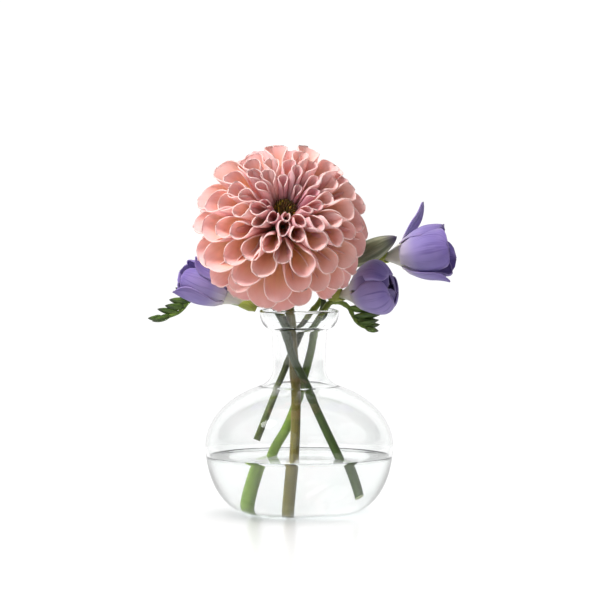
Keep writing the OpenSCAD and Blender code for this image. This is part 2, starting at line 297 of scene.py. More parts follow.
def petal_material():
    n = new_material("dahlia petal")
    along, side, ring = n.value("along"), n.value("side"), n.value("ring")
    inner = n.mix(n.step(along, 0.25, 0.75), rgb(252, 216, 148), rgb(251, 208, 196))
    inner = n.mix(n.step(along, 0.55, 0.95), inner, rgb(252, 212, 216))
    outer = n.mix(n.step(along, 0.3, 0.95), rgb(244, 196, 204), rgb(252, 224, 228))
    color = n.mix(side, outer, inner)
    color = n.mix(n.step(ring, 0.0, 0.3, 0.8, 0.0), color, rgb(206, 122, 150))
    vein = n.streaks(1.2, 9.0)
    color = n.mix(n.step(vein, 0.42, 0.72, 0.0, 0.3), color, rgb(246, 184, 176))
    color = n.mix(n.math("MULTIPLY", n.value("tint"), 0.45), color, rgb(255, 236, 226))
    rim = n.math("EXPONENT", n.math("MULTIPLY", n.value("edge"), -2.1))
    color = n.mix(n.math("MULTIPLY", rim, 0.92), color, rgb(255, 232, 228))
    bump = n.bump(vein, 0.35, 0.0004)
    surface = n.principled(color, 0.5, bump, Specular_IOR_Level=0.3, Sheen_Weight=0.15)
    return n.finish(n.leafy(surface, n.mix(0.25, color, rgb(255, 200, 160)), 0.38))


def eye_material():
    n = new_material("dahlia eye")
    spots = n.noise(900.0)
    color = n.mix(n.step(n.value("along"), 0.35, 1.0), rgb(38, 42, 22), rgb(92, 84, 38))
    color = n.mix(n.step(spots, 0.4, 0.65), color, rgb(96, 58, 46))
    color = n.mix(n.step(n.value("tint"), 0.75, 0.95, 0.0, 0.8), color, rgb(178, 152, 58))
    return n.finish(n.principled(color, 0.6, n.bump(spots, 0.3, 0.0003), Specular_IOR_Level=0.3))


def green_material(name, dark, light, tip=None, share=0.12):
    """A leaf or bud. share is how much of the light it lets through."""
    n = new_material(name)
    grain = n.streaks(2.0, 22.0)
    patch = n.noise(160.0, 2.0)
    color = n.mix(n.step(grain, 0.35, 0.7, 0.0, 0.5), dark, light)
    color = n.mix(n.step(patch, 0.45, 0.7, 0.0, 0.45), color, light)
    if tip:
        color = n.mix(n.step(n.value("along"), 0.6, 1.0, 0.0, 0.9), color, tip)
    surface = n.principled(color, 0.42, n.bump(grain, 0.3, 0.0003), Specular_IOR_Level=0.4)
    return n.finish(n.leafy(surface, light, share))


def stem_material(name, low, high, pale):
    """A stem whose colour turns from low to high up its length, with a pale cut end."""
    n = new_material(name)
    grain = n.streaks(3.0, 18.0)
    patch = n.noise(90.0, 3.0, (1, 1, 0.3))
    color = n.mix(n.step(n.value("along"), 0.3, 0.85), low, high)
    color = n.mix(n.step(grain, 0.45, 0.75, 0.0, 0.4), color, pale)
    color = n.mix(n.step(patch, 0.5, 0.72, 0.0, 0.4), color, low)
    color = n.mix(n.math("MULTIPLY", n.value("side"), 0.85), color, rgb(206, 212, 160))
    return n.finish(n.principled(color, 0.45, n.bump(grain, 0.35, 0.0003), Specular_IOR_Level=0.4))


def tepal_material():
    n = new_material("freesia tepal")
    along = n.value("along")
    vein = n.streaks(1.0, 11.0)
    cloud = n.noise(70.0, 2.0)
    color = n.mix(n.step(along, -0.1, 0.34), rgb(222, 216, 212), rgb(156, 142, 200))
    color = n.mix(n.step(along, 0.3, 0.95, 0.0, 0.75), color, rgb(120, 98, 176))
    color = n.mix(n.step(cloud, 0.4, 0.7, 0.0, 0.35), color, rgb(182, 164, 214))
    color = n.mix(n.math("MULTIPLY", n.step(vein, 0.5, 0.72, 0.0, 0.5), n.step(along, 0.15, 0.6)),
                  color, rgb(92, 72, 142))
    # painted shade: a tepal's dark value turns its lower part deep violet, where it sits in shade inside a
    # half-closed floret
    color = n.mix(n.math("MULTIPLY", n.value("ring"), n.step(along, 0.1, 0.5)), color, rgb(70, 48, 118))
    rim = n.math("EXPONENT", n.math("MULTIPLY", n.value("edge"), -1.6))
    color = n.mix(n.math("MULTIPLY", rim, 0.35), color, rgb(198, 176, 228))
    bump = n.bump(vein, 0.4, 0.0004)
    surface = n.principled(color, 0.48, bump, Specular_IOR_Level=0.35, Sheen_Weight=0.1)
    return n.finish(n.leafy(surface, color, 0.28))


def throat_material():
    n = new_material("freesia throat")
    vein = n.streaks(1.0, 14.0)
    color = n.mix(n.step(n.value("along"), 0.0, 0.7), rgb(188, 196, 104), rgb(216, 212, 200))
    color = n.mix(n.step(vein, 0.5, 0.75, 0.0, 0.3), color, rgb(190, 176, 205))
    return n.finish(n.leafy(n.principled(color, 0.5, n.bump(vein, 0.3, 0.0003)), color, 0.2))


def large_bud_material():
    n = new_material("freesia large bud")
    grain = n.streaks(1.5, 12.0)
    color = n.mix(n.step(grain, 0.35, 0.7), rgb(92, 98, 70), rgb(158, 158, 132))
    color = n.mix(n.step(n.value("along"), 0.0, 0.35, 0.8, 0.0), color, rgb(120, 132, 62))
    color = n.mix(n.step(n.value("along"), 0.72, 1.0, 0.0, 0.9), color, rgb(74, 62, 92))
    return n.finish(n.principled(color, 0.5, n.bump(grain, 0.4, 0.0004), Specular_IOR_Level=0.35))


def stamen_material():
    n = new_material("freesia stamen")
    color = n.mix(n.step(n.noise(600.0), 0.4, 0.65), rgb(240, 236, 220), rgb(206, 190, 214))
    return n.finish(n.principled(color, 0.6))


WHITE = (1.0, 1.0, 1.0, 1.0)
EDGE_ON_PAINTED_SHADE = (0.3, 0.31, 0.31, 1.0)       # painted shade where a clear surface is seen edge on
LINE_PAINTED_SHADE = (0.42, 0.43, 0.43, 1.0)     # painted shade lines at the foot of the glass and the edge of the water
SHADOW_TINT = (0.8, 0.81, 0.81, 1.0)


def clear_material(name, ior, tint, rim):
    """Glass or water, which lamps shine straight through. rim is how far painted shade greys it where seen
    edge on.
    """
    n = new_material(name)
    faint = n.mix(n.step(n.noise(60.0, 1.0), 0.3, 0.7), tint, WHITE)
    edge_on = n.node("ShaderNodeLayerWeight").outputs["Facing"]
    # painted shade: grey where the surface is seen edge on
    faint = n.mix(n.step(edge_on, 0.66, 1.0, 0.0, rim), faint, EDGE_ON_PAINTED_SHADE)
    # painted shade: grey lines where the edge value is set, at the foot of the glass and along the
    # waterline
    faint = n.mix(n.value("edge"), faint, LINE_PAINTED_SHADE)
    surface = n.principled(faint, 0.0, Transmission_Weight=1.0, IOR=ior)
    shadow = n.node("ShaderNodeBsdfTransparent")
    shadow.inputs["Color"].default_value = SHADOW_TINT
    mix = n.node("ShaderNodeMixShader")
    n.set(mix.inputs[0], n.node("ShaderNodeLightPath").outputs["Is Shadow Ray"])
    n.set(mix.inputs[1], surface)
    n.set(mix.inputs[2], shadow.outputs[0])
    return n.finish(mix.outputs[0])


PETAL = petal_material()
TEPAL = tepal_material()
THROAT = throat_material()
STAMEN = stamen_material()
LEAF = green_material("freesia leaf", rgb(48, 66, 40), rgb(96, 120, 66))
BRACT = green_material("freesia bract", rgb(150, 160, 66), rgb(196, 202, 110), share=0.2)
BUD = green_material("freesia bud", rgb(52, 74, 34), rgb(122, 150, 64), rgb(60, 62, 56))
CALYX = green_material("dahlia calyx", rgb(70, 88, 38), rgb(126, 142, 70))
SPIKE = stem_material("freesia spike", rgb(110, 130, 52), rgb(96, 122, 50), rgb(160, 172, 86))

# ---------- Vase and water ----------
VASE_H = 109.0
BODY_R = 50.2
BELLY_Z = 36.0
FOOT_R = 26.0
SHOULDER_H = 35.5       # height of the ellipse that the shoulder follows
SHOULDER_END = 65.3     # degrees up that ellipse
NECK_R = 14.0
NECK_Z = 77.8           # where the fillet ends and the neck begins
NECK_TOP_R = 14.7
FILLET_R = 10.0
FILLET_START = 252      # degrees
COLLAR_R = 21.2
COLLAR_H = 10.8
LIP_R = 1.1
WALL = 1.3
FLOOR_T = 4.2
WATER_Z = 30.0
LATHE_SIDES = 160


def arc(cx, cz, a, b, start, end, n):
    t = np.radians(np.linspace(start, end, n + 1))
    return np.stack([cx + a * np.cos(t), cz + b * np.sin(t)], 1)


OUTER = np.vstack([
    arc(FOOT_R, BELLY_Z, BODY_R - FOOT_R, BELLY_Z, -90, 0, 44),
    arc(0, BELLY_Z, BODY_R, SHOULDER_H, 2, SHOULDER_END, 40),
    arc(NECK_R + FILLET_R, NECK_Z, FILLET_R, FILLET_R, FILLET_START, 180, 20),
    [[NECK_TOP_R, VASE_H - COLLAR_H - 0.6]],
    arc(NECK_TOP_R, VASE_H - LIP_R, COLLAR_R - NECK_TOP_R, COLLAR_H - LIP_R, -78, 0, 24),
    arc(COLLAR_R - LIP_R, VASE_H - LIP_R, LIP_R, LIP_R, 18, 90, 8),
])
INNER = np.vstack([
    arc(FOOT_R, BELLY_Z, BODY_R - WALL - FOOT_R, BELLY_Z - FLOOR_T, -90, 0, 44),
    arc(0, BELLY_Z, BODY_R - WALL, SHOULDER_H - WALL, 2, SHOULDER_END, 40),
    arc(NECK_R + FILLET_R, NECK_Z, FILLET_R + WALL, FILLET_R + WALL, FILLET_START, 180, 20),
    [[NECK_TOP_R - WALL, VASE_H - COLLAR_H + 0.6]],
    arc(NECK_TOP_R - WALL, VASE_H - LIP_R, COLLAR_R - NECK_TOP_R, COLLAR_H - LIP_R - WALL, -74, 0, 24),
    arc(COLLAR_R - LIP_R, VASE_H - LIP_R, LIP_R, LIP_R, 162, 100, 6),
])


def lathe(parts, outline, sides, edge=0.0):
    """Turns an outline that starts and ends on the axis. edge is a value for each of its points."""
    n = len(outline)
    body = outline[1:-1]
    angles = np.arange(sides) * 2 * math.pi / sides
    ring = np.stack([np.outer(body[:, 0], np.cos(angles)), np.outer(body[:, 0], np.sin(angles)),
                     np.repeat(body[:, 1:2], sides, 1)], 2).reshape(-1, 3)
    verts = np.vstack([ring, [[0, 0, outline[0][1]], [0, 0, outline[-1][1]]]])
    m = n - 2
    faces = wall_faces(m, sides)
    faces += [((k + 1) % sides, k, m * sides) for k in range(sides)]
    faces += [((m - 1) * sides + k, (m - 1) * sides + (k + 1) % sides, m * sides + 1) for k in range(sides)]
    edge = np.broadcast_to(edge, (n,))
    parts.add(verts, faces, edge=np.concatenate([np.repeat(edge[1:-1], sides), edge[[0, -1]]]))


vase = Parts()
hollow = [[0, 1.1], [8, 1.1], [15, 1.0], [20, 0.75], [23, 0.3], [25, 0.0]]     # under the foot
# painted shade: a grey ring along the bottom of the glass's foot
foot_shade_line = smoothstep(3.4, 1.2, OUTER[:, 1]) * smoothstep(18, 27, OUTER[:, 0])
lathe(vase, np.vstack([hollow, OUTER, INNER[::-1], [[0, FLOOR_T]]]), LATHE_SIDES,
      np.concatenate([np.zeros(len(hollow)), foot_shade_line, np.zeros(len(INNER) + 1)]))
vase.object("vase_glass", clear_material("clear glass", 1.5, (0.975, 0.99, 0.985, 1.0), 0.8),
            "vase", ["glass_vase"])

# The water runs a hair into the glass, and climbs the wall a little where it meets it
INTO_GLASS = 0.06
CLIMB = 0.9
below = np.array([[p[0] + INTO_GLASS, p[1] - INTO_GLASS] for p in INNER if p[1] < WATER_Z])
wall_r = below[-1][0] + 0.15
top_edge = [[wall_r + 0.2, WATER_Z + CLIMB], [wall_r - 0.1, WATER_Z + CLIMB + 0.05]]
surface = [[wall_r - d, WATER_Z + CLIMB * math.exp(-d)] for d in (0.5, 1.0, 1.6, 2.4, 3.4, 5.0, 8.0)]
outline = np.vstack([[[0, FLOOR_T - INTO_GLASS]], below, top_edge, surface, [[0, WATER_Z]]])
# painted shade: a grey line where the water climbs the glass
waterline_shade = smoothstep(-0.1, 0.6, outline[:, 1] - WATER_Z)
water = Parts()
lathe(water, outline, LATHE_SIDES, waterline_shade)
water.object("vase_water", clear_material("water", 1.33, (0.985, 0.995, 0.99, 1.0), 0.0),
             "vase", ["water"])

# ---------- Stems ----------
dahlia_path = [
    [-5.2, -6.6, 5.2], [-2.7, -4.3, 31], [-1.8, -2.4, 55], [-1.9, -1.5, 67], [-3.4, 0.2, 88],
    [-4.2, 1.4, 100], [-5.6, 1.8, 112], [-7.8, 0.8, 123], [-9.4, -4, 133], [-10, -10.6, 140.4],
    [-10.2, -17.8, 145.9]]
a_path = [
    [28.6, -17.6, 13], [21, -14.6, 31], [13.4, -11.8, 47], [7.4, -9.7, 60], [2.1, -7.5, 72.4],
    [-2, -6.1, 81], [-4.8, -4.9, 88.6], [-6.4, -3.2, 97], [-8.8, -0.8, 104.5]]
b_path = [
    [-21, 9.6, 8], [-14.4, 7.6, 31], [-6.6, 6.2, 45.5], [-1, 5.2, 60], [2.5, 4.3, 72], [6.4, 3.4, 87],
    [8.3, 2.7, 97.5], [11.2, 2.4, 104.5]]
c_path = [
    [-22.8, 1, 39], [-14.6, 3, 59.6], [-11.6, 3.4, 67.3], [-8.2, 4.2, 76], [-5, 5.6, 84], [-1.6, 7, 90.4],
    [0.8, 7.8, 96.4], [3.4, 8.8, 102]]


def stem(name, points, r0, r1, joints, material, body, node):
    """A stem with slight swellings at its joints."""
    path = smooth_path(points, 10)
    t = np.linspace(0, 1, len(path))
    radii = r0 + (r1 - r0) * t
    for j in joints:
        radii = radii * (1 + 0.13 * np.exp(-((t - j) / 0.018) ** 2))
    parts = Parts()
    parts.tube(path, radii, 22, ribs=0.025, tint=rng.random())
    parts.object(name, material, body, [node])


stem("dahlia_stalk", dahlia_path, 2.6, 2.4, (0.33, 0.62),
     stem_material("dahlia stem", rgb(100, 92, 34), rgb(92, 106, 26), rgb(140, 126, 74)),
     "dahlia", "dahlia_stem")
stem("freesia_a_stalk", a_path, 2.4, 1.85, (0.4, 0.8),
     stem_material("dark stem", rgb(50, 72, 10), rgb(48, 66, 16), rgb(92, 112, 38)),
     "freesia_a", "freesia_a_stem")
stem("freesia_b_stalk", b_path, 2.8, 1.85, (0.45, 0.82),
     stem_material("bright stem", rgb(104, 132, 34), rgb(66, 92, 22), rgb(138, 162, 66)),
     "freesia_b", "freesia_b_stem")
stem("freesia_c_stalk", c_path, 1.85, 1.68, (0.5, 0.85),
     stem_material("grey stem", rgb(62, 72, 24), rgb(52, 62, 24), rgb(112, 118, 76)),
     "freesia_c", "freesia_c_stem")

# ---------- Dahlia ----------
BLOOM_CENTRE = (-8.9, -30, 154)
TILT = math.radians(33)
TURN = math.radians(6)
BLOOM_AXIS = (math.sin(TURN) * math.cos(TILT), -math.cos(TURN) * math.cos(TILT), math.sin(TILT))
BLOOM_R = 45.5
CORE_R = 12.0
FIRST = 22.0        # degrees from the bloom's axis to its first floret
LAST = 105.0
COUNT = 96
PER_PIECE = 16
EYE_COUNT = 89
EYE_SPREAD = 2.2    # degrees


def reach_at(a):
    return BLOOM_R - 15.5 * max(math.cos(math.radians(a)), 0) ** 2.5 - 4 * math.exp(-(a / 20) ** 2)


def cell_at(a):
    """Half the cone that a floret has to itself, in radians."""
    spacing = math.radians((LAST - FIRST) / COUNT)
    return math.sqrt(2 * math.sin(math.radians(a)) * spacing)


def petal(parts, a, azimuth, reach, rho, bend, closed, mouth, depth, crumple, ring, tint, twist, nod):
    """One rolled floret, a degrees from the bloom's axis. It is a closed tube for the share closed of its
    length, then opens until each half wraps the angle bend, rolled to radius rho. Its rounded tip begins
    at the share mouth."""
    n, m = 24, 21
    t = np.linspace(0, 1, n)
    v = 1 - (1 - t) ** 1.6
    s = np.linspace(-1, 1, m)
    base_rho = max(CORE_R * math.tan(cell_at(a)) * 0.6, 0.5)
    rolled = base_rho + (rho - base_rho) * smoothstep(-0.05, 0.8, v)
    full = math.radians(178)
    half_bend = full + (math.radians(bend) - full) * smoothstep(closed - 0.12, closed + 0.2, v)
    tip = np.clip((v - mouth) / (1 - mouth), 0, 1)
    half_width = rolled * half_bend * np.sqrt(np.clip(1 - tip ** 2.3, 0.0004, 1))
    wander = math.radians(twist) * v[:, None]
    psi = s[None, :] * (half_width / rolled)[:, None] + wander
    r = (CORE_R - 2) + (reach - CORE_R + 2) * v
    midrib = rolled * 0.95 + (0.6 + nod) * tip ** 2
    still_closed = 1 - smoothstep(closed, closed + 0.2, v)
    seam = np.abs(s[None, :]) ** 6 * 0.12 * rolled[:, None] * still_closed[:, None]
    lumps = 1 + 0.05 * np.sin(3 * psi + 11 * tint) * smoothstep(0.2, 0.8, v)[:, None]
    x_out = midrib[:, None] + depth * rolled[:, None] * (lumps * np.cos(psi) - 1)
    x_out = x_out - seam * np.sign(s)[None, :]
    y_out = rolled[:, None] * lumps * np.sin(psi)
    ripple = crumple * tip[:, None] * np.cos(7.5 * s[None, :] + 9 * tint)
    r_out = r[:, None] + ripple + 0.5 * tip[:, None] * np.cos(3.1 * s[None, :] + 5 * tint)
    y_out = y_out * (1 - 0.25 * crumple * tip[:, None] * np.abs(s[None, :]))
    sa = math.sin(math.radians(a))
    ca = math.cos(math.radians(a))
    grid = np.stack([sa * r_out + ca * x_out, y_out, ca * r_out - sa * x_out], 2)
    edge = np.minimum((1 - np.abs(s[None, :])) * half_width[:, None], ((1 - v) * (reach - CORE_R))[:, None])
    edge = edge + 4 * (1 - smoothstep(closed - 0.05, closed + 0.12, v))[:, None]
    thickness = 0.36 + 0.26 * np.exp(-edge / 0.6)
    start = len(parts.verts)
    parts.sheet(grid, thickness, edge, ring, tint)
    parts.place(start, lambda p: aim(turn_z(p, azimuth), BLOOM_CENTRE, BLOOM_AXIS))


for group in range(COUNT // PER_PIECE):
    parts = Parts()
    for i in range(group * PER_PIECE, (group + 1) * PER_PIECE):
        a = FIRST + (LAST - FIRST) * i / (COUNT - 1)
        azimuth = i * GOLDEN
        low = math.cos(math.radians(azimuth))       # 1 at the bottom of the bloom, -1 at the top
        ring = (a - FIRST) / (LAST - FIRST)
        reach = reach_at(a) + rng.uniform(-2.4, 1.2) - 3.0 * max(0, 1 - ring / 0.1) * (low < 0.3)
        wide = float(smoothstep(0.3, 0.75, ring))
        petal(parts, a + rng.uniform(-2.2, 2.2), azimuth + rng.uniform(-5, 5), reach,
              rho=reach * math.tan(cell_at(a)) * (0.84 + 0.28 * wide) * rng.uniform(0.78, 1.1),
              bend=165 - 60 * wide + rng.uniform(-10, 8), closed=0.7 - 0.5 * wide, mouth=0.76 - 0.2 * wide,
              depth=0.95 - 0.2 * wide, crumple=1.5 if ring < 0.2 and low > 0.6 else 0.0, ring=ring,
              tint=rng.random(), twist=rng.uniform(-28, 28) * (1 - 0.5 * wide), nod=0.9 * wide)
    parts.object("dahlia_petals_%d" % (group + 1), PETAL, "dahlia",
                 ["dahlia_florets_%d" % (group + 1)])

eye = Parts()
for i in range(1, EYE_COUNT + 1):
    a = EYE_SPREAD * math.sqrt(i)
    out = 21.8 - 2.2 * (a / 16.5) ** 2 + rng.uniform(-0.4, 0.4)
    path = np.array([[0, 0, 11 + (out - 11) * t] for t in np.linspace(0, 1, 9)])
    shape = np.array([0.5, 0.6, 0.7, 0.85, 0.95, 1.0, 0.9, 0.6, 0.12]) * 0.78
    start = len(eye.verts)
    eye.tube(path, shape, 7, tint=rng.random())
    ca = math.cos(math.radians(a))
    sa = math.sin(math.radians(a))
    lean = np.array([[ca, 0, -sa], [0, 1, 0], [sa, 0, ca]])
    eye.place(start, lambda p: aim(turn_z(p @ lean, i * GOLDEN), BLOOM_CENTRE, BLOOM_AXIS))
eye.object("dahlia_centre", eye_material(), "dahlia", ["dahlia_eye"])

core = Parts()
profile = [
    [0, -15.2], [4.9, -15], [6.4, -12.5], [9.4, -8], [11.4, -4],
    [12, 0], [11.3, 4], [9, 8], [5, 10.9], [0, 12]]
curve = smooth_path([[p[0], 0, p[1]] for p in profile], 4)[:, [0, 2]]
lathe(core, curve, 40)
core.place(0, lambda p: aim(p, BLOOM_CENTRE, BLOOM_AXIS))
core.object("dahlia_core", CALYX, "dahlia", ["dahlia_receptacle"])


def blade(parts, points, width, thickness, face, fold=0.25, wave=0.0, tint=0.5, n=26, m=11):
    """A pointed leaf along a path, folded a little along its middle."""
    path = smooth_path(points, 8)
    where = np.linspace(0, len(path) - 1, n)
    path = np.stack([np.interp(where, np.arange(len(path)), path[:, k]) for k in range(3)], 1)
    s = np.linspace(-1, 1, m)
    grid = np.zeros((n, m, 3))
    half = np.zeros(n)
    for i in range(n):
        u = i / (n - 1)
        bulge = math.sin(math.pi * (0.06 + 0.94 * u) ** 0.75) ** 0.8 if u < 1 else 0
        half[i] = max(width / 2 * bulge, 0.06)
        t = unit(path[min(i + 1, n - 1)] - path[max(i - 1, 0)])
        across = unit(np.cross(t, face))
        through = np.cross(across, t)
        for k in range(m):
            lift = fold * half[i] * abs(s[k]) ** 1.5 + wave * math.sin(9 * u + 2 * s[k]) * abs(s[k])
            grid[i, k] = path[i] + across * s[k] * half[i] + through * lift
    edge = (1 - np.abs(s))[None, :] * half[:, None]
    parts.sheet(grid, thickness, edge, tint=tint)


calyx = Parts()
for k in range(8):
    start = len(calyx.verts)
    blade(calyx, [[4.9, 0, -14.2], [10, 0, -14.6], [15, 0, -13.4], [20, 0, -13.6], [24, 0, -16]],
          7.5, 0.8, [0, 0, 1], 0.2, 0.3, rng.random())
    calyx.place(start, lambda p: aim(turn_z(p, 45 * k), BLOOM_CENTRE, BLOOM_AXIS))
calyx.object("dahlia_sepals", CALYX, "dahlia", ["dahlia_calyx"])


# ---------- Freesias ----------
TUBE_END = 0.4      # share of a floret's length where its tepals spring from the tube


def goblet(s, r):
    """Radius of the perianth at share s of its length."""
    s = np.asarray(s, float)
    return (1.7 + 1.1 * s + (r - 2.8) * np.sin(np.pi / 2 * np.clip((s - 0.16) / 0.6, 0, 1)) ** 1.5
            - 0.16 * r * np.clip((s - 0.72) / 0.28, 0, None) ** 2)


def tepal(parts, length, r, width, out, flare, turn, curl=0.0, wave=0.5, dark=0.0, reach=1.0, tilt=0.0):
    """One tepal: it springs from the end of the tube, cups, and curls out (or in) at its rounded tip."""
    n, m = 30, 19
    u = np.linspace(0, 1, n) ** 0.9
    s = np.linspace(-1, 1, m)
    z0 = TUBE_END * length - 1.0
    radius = goblet(TUBE_END + (1 - TUBE_END) * u, r) + out * smoothstep(0, 0.15, u) + flare * u ** 2
    radius = np.maximum(radius + curl * np.clip((u - 0.6) / 0.4, 0, 1) ** 2, 0.8)
    z = z0 + (length * reach - z0) * u - abs(curl) * 0.35 * np.clip((u - 0.7) / 0.3, 0, 1) ** 2
    half = width / 2 * (0.3 + 0.7 * smoothstep(-0.05, 0.6, u)) * np.sqrt(
        np.clip(1 - np.clip((u - 0.58) / 0.42, 0, 1) ** 2.6, 0.001, 1))
    bow = np.maximum(goblet(TUBE_END + (1 - TUBE_END) * u, r) * 0.86, 1.6)
    psi = s[None, :] * np.minimum(half / bow, 1.9)[:, None]
    tint = rng.random()
    ripple = wave * np.sin(7 * u[:, None] + 6 * tint + 2.2 * s[None, :])
    ripple = ripple * np.abs(s[None, :]) ** 2 * u[:, None]
    keel = 0.35 * np.exp(-(s[None, :] / 0.12) ** 2) * (1 - 0.6 * u[:, None])
    bow_now = bow[:, None] + keel + ripple
    x = (radius - bow)[:, None] + bow_now * np.cos(psi)
    y = bow_now * np.sin(psi)
    grid = np.stack([x, y, z[:, None] + tilt * y * u[:, None]], 2)
    edge = np.minimum((1 - np.abs(s))[None, :] * half[:, None], ((1 - u) * (length - z0))[:, None])
    start = len(parts.verts)
    # dark is painted shade, passed on as the ring value
    parts.sheet(grid, 0.45 + 0.2 * np.exp(-edge / 0.6), edge, ring=dark, tint=tint, flip=True)
    parts.place(start, lambda p: turn_z(p, turn))


def funnel(parts, length, r):
    """The tube that the tepals spring from, open at its far end."""
    n, m = 18, 28
    s = np.linspace(0, TUBE_END, n)
    radius = goblet(s, r)
    angles = np.linspace(0, 2 * np.pi, m)
    lobes = 1 + 0.03 * np.cos(6 * angles)[None, :] * (s / TUBE_END)[:, None]
    grid = np.stack([radius[:, None] * lobes * np.cos(angles), radius[:, None] * lobes * np.sin(angles),
                     np.repeat((length * s)[:, None], m, 1)], 2)
    parts.sheet(grid, 0.6, 3.0, tint=0.4, flip=True)


def cup_bract(parts, length):
    """The pair of green bracts that clasp the foot of a floret."""
    for k in range(2):
        n, m = 16, 13
        u = np.linspace(0, 1, n)
        s = np.linspace(-1, 1, m)
        radius = 1.9 + 1.1 * smoothstep(0, 0.4, u) + (0.35 if k else 0)
        half = 1.85 * np.sqrt(np.clip(1 - np.clip((u - 0.45) / 0.55, 0, 1) ** 2, 0.002, 1))
        psi = s[None, :] * half[:, None]
        grid = np.stack([radius[:, None] * np.cos(psi), radius[:, None] * np.sin(psi),
                         np.repeat((-1.4 + (length + 1.4) * u)[:, None], m, 1)], 2)
        edge = (1 - np.abs(s))[None, :] * (half * radius)[:, None]
        start = len(parts.verts)
        parts.sheet(grid, 0.4, edge, tint=0.2 + 0.5 * k, flip=True)
        parts.place(start, lambda p: turn_z(p, 180 * k + 30))


def spindle(parts, base, tip, r, sides, n, lobes, blunt, tint):
    """A closed bud with three faint seams."""
    base = np.array(base, float)
    tip = np.array(tip, float)
    length = np.linalg.norm(tip - base)
    t = np.linspace(0, 1, n)
    radii = r * np.sin(np.pi * (0.1 + 0.9 * t)) ** blunt
    radii[-1] = 0.03
    angles = np.arange(sides) * 2 * np.pi / sides
    shape = 1 + lobes * np.cos(3 * angles)
    verts = np.stack([np.outer(radii, np.cos(angles) * shape), np.outer(radii, np.sin(angles) * shape),
                      np.repeat((length * t)[:, None], sides, 1)], 2).reshape(-1, 3)
    faces = wall_faces(n, sides)
    faces += [tuple(range(sides - 1, -1, -1)), tuple((n - 1) * sides + k for k in range(sides))]
    parts.add(aim(verts, base, tip - base), faces, along=np.repeat(t, sides),
              across=np.tile(angles / (2 * np.pi), n), edge=3.0, tint=tint)


def small_buds(parts, spike, buds):
    """Each bud stands in a short pointed bract."""
    for where, way, r in buds:
        base = spike[where]
        way = np.array(way, float)
        tint = rng.random()
        spindle(parts, base, base + way, r * 1.05, 16, 20, 0.09, 0.75, tint)
        side = unit(np.cross(way, [0.1, 1, 0.2]))
        bract = [base - unit(way), base + way * 0.1 - side * r * 0.7,
                 base + way * 0.28 - side * r * 1.05, base + way * 0.5 - side * r * 0.95]
        blade(parts, bract, r * 1.7, 0.4, side, 0.5, 0.0, tint, 14, 7)


def stamens(parts, length):
    """Three stamens with long anthers, and the branched style between them."""
    foot = length * 0.12
    top = length * 0.68
    for k in range(3):
        start = len(parts.verts)
        parts.tube(smooth_path([[0.8, 0, foot], [1.6, 0, (foot + top) / 2], [2.8, 0, top]], 6), 0.33, 8)
        anther = [[2.7, 0, top - 0.4], [3.0, 0, top + length * 0.07], [3.1, 0, top + length * 0.13]]
        parts.tube(smooth_path(anther, 4), [0.35, 0.6, 0.75, 0.75, 0.75, 0.75, 0.7, 0.55, 0.2], 8)
        parts.place(start, lambda p: turn_z(p, 30 + 120 * k))
    parts.tube(smooth_path([[0, 0, foot], [0, 0, top], [0, 0, length * 0.84]], 4), 0.3, 8)
    for k in range(3):
        start = len(parts.verts)
        branch = [[0, 0, length * 0.83], [0.9, 0, length * 0.87], [2.2, 0, length * 0.89]]
        parts.tube(smooth_path(branch, 3), 0.2, 6)
        parts.place(start, lambda p: turn_z(p, 120 * k))


def freesia(letter, base, axis, length, r, cup, spike_points, spike_r, outer, inner,
            buds=None, big_bud=None):
    """One spray above its stem. outer and inner list each tepal's own settings, and cup is how far the
    bracts reach up the floret."""
    body = "freesia_" + letter

    def floret_piece(name, build, material, node):
        parts = Parts()
        build(parts)
        parts.place(0, lambda p: aim(p, base, axis))
        parts.object(body + "_" + name, material, body, [body + "_" + node])

    spike = smooth_path(spike_points, 2)
    stalk = Parts()
    fine = smooth_path(spike_points, 10)
    t = np.linspace(0, 1, len(fine))
    zigzag = 1 + 0.16 * np.exp(-((np.mod(t * (len(spike_points) - 1), 1) - 0.5) / 0.16) ** 2)
    stalk.tube(fine, (spike_r[0] + (spike_r[1] - spike_r[0]) * t) * zigzag, 14, (0, 0.2, 1), ribs=0.03)
    stalk.object(body + "_rachis", SPIKE, body, [body + "_spike"])
    floret_piece("cup", lambda p: cup_bract(p, cup), BRACT, "bract")
    floret_piece("throat", lambda p: funnel(p, length, r), THROAT, "tube")
    floret_piece("petals_outer", lambda p: [tepal(p, length, r, **q) for q in outer], TEPAL, "outer_tepals")
    floret_piece("petals_inner", lambda p: [tepal(p, length, r, **q) for q in inner], TEPAL, "inner_tepals")
    floret_piece("anthers", lambda p: stamens(p, length), STAMEN, "stamens")
    if buds:
        parts = Parts()
        small_buds(parts, spike, buds)
        parts.object(body + "_bud_row", BUD, body, [body + "_buds"])
    if big_bud:
        parts = Parts()
        spindle(parts, *big_bud, 30, 30, 0.05, 0.7, 0.3)
        parts.object(body + "_big_bud", large_bud_material(), body, [body + "_bud"])


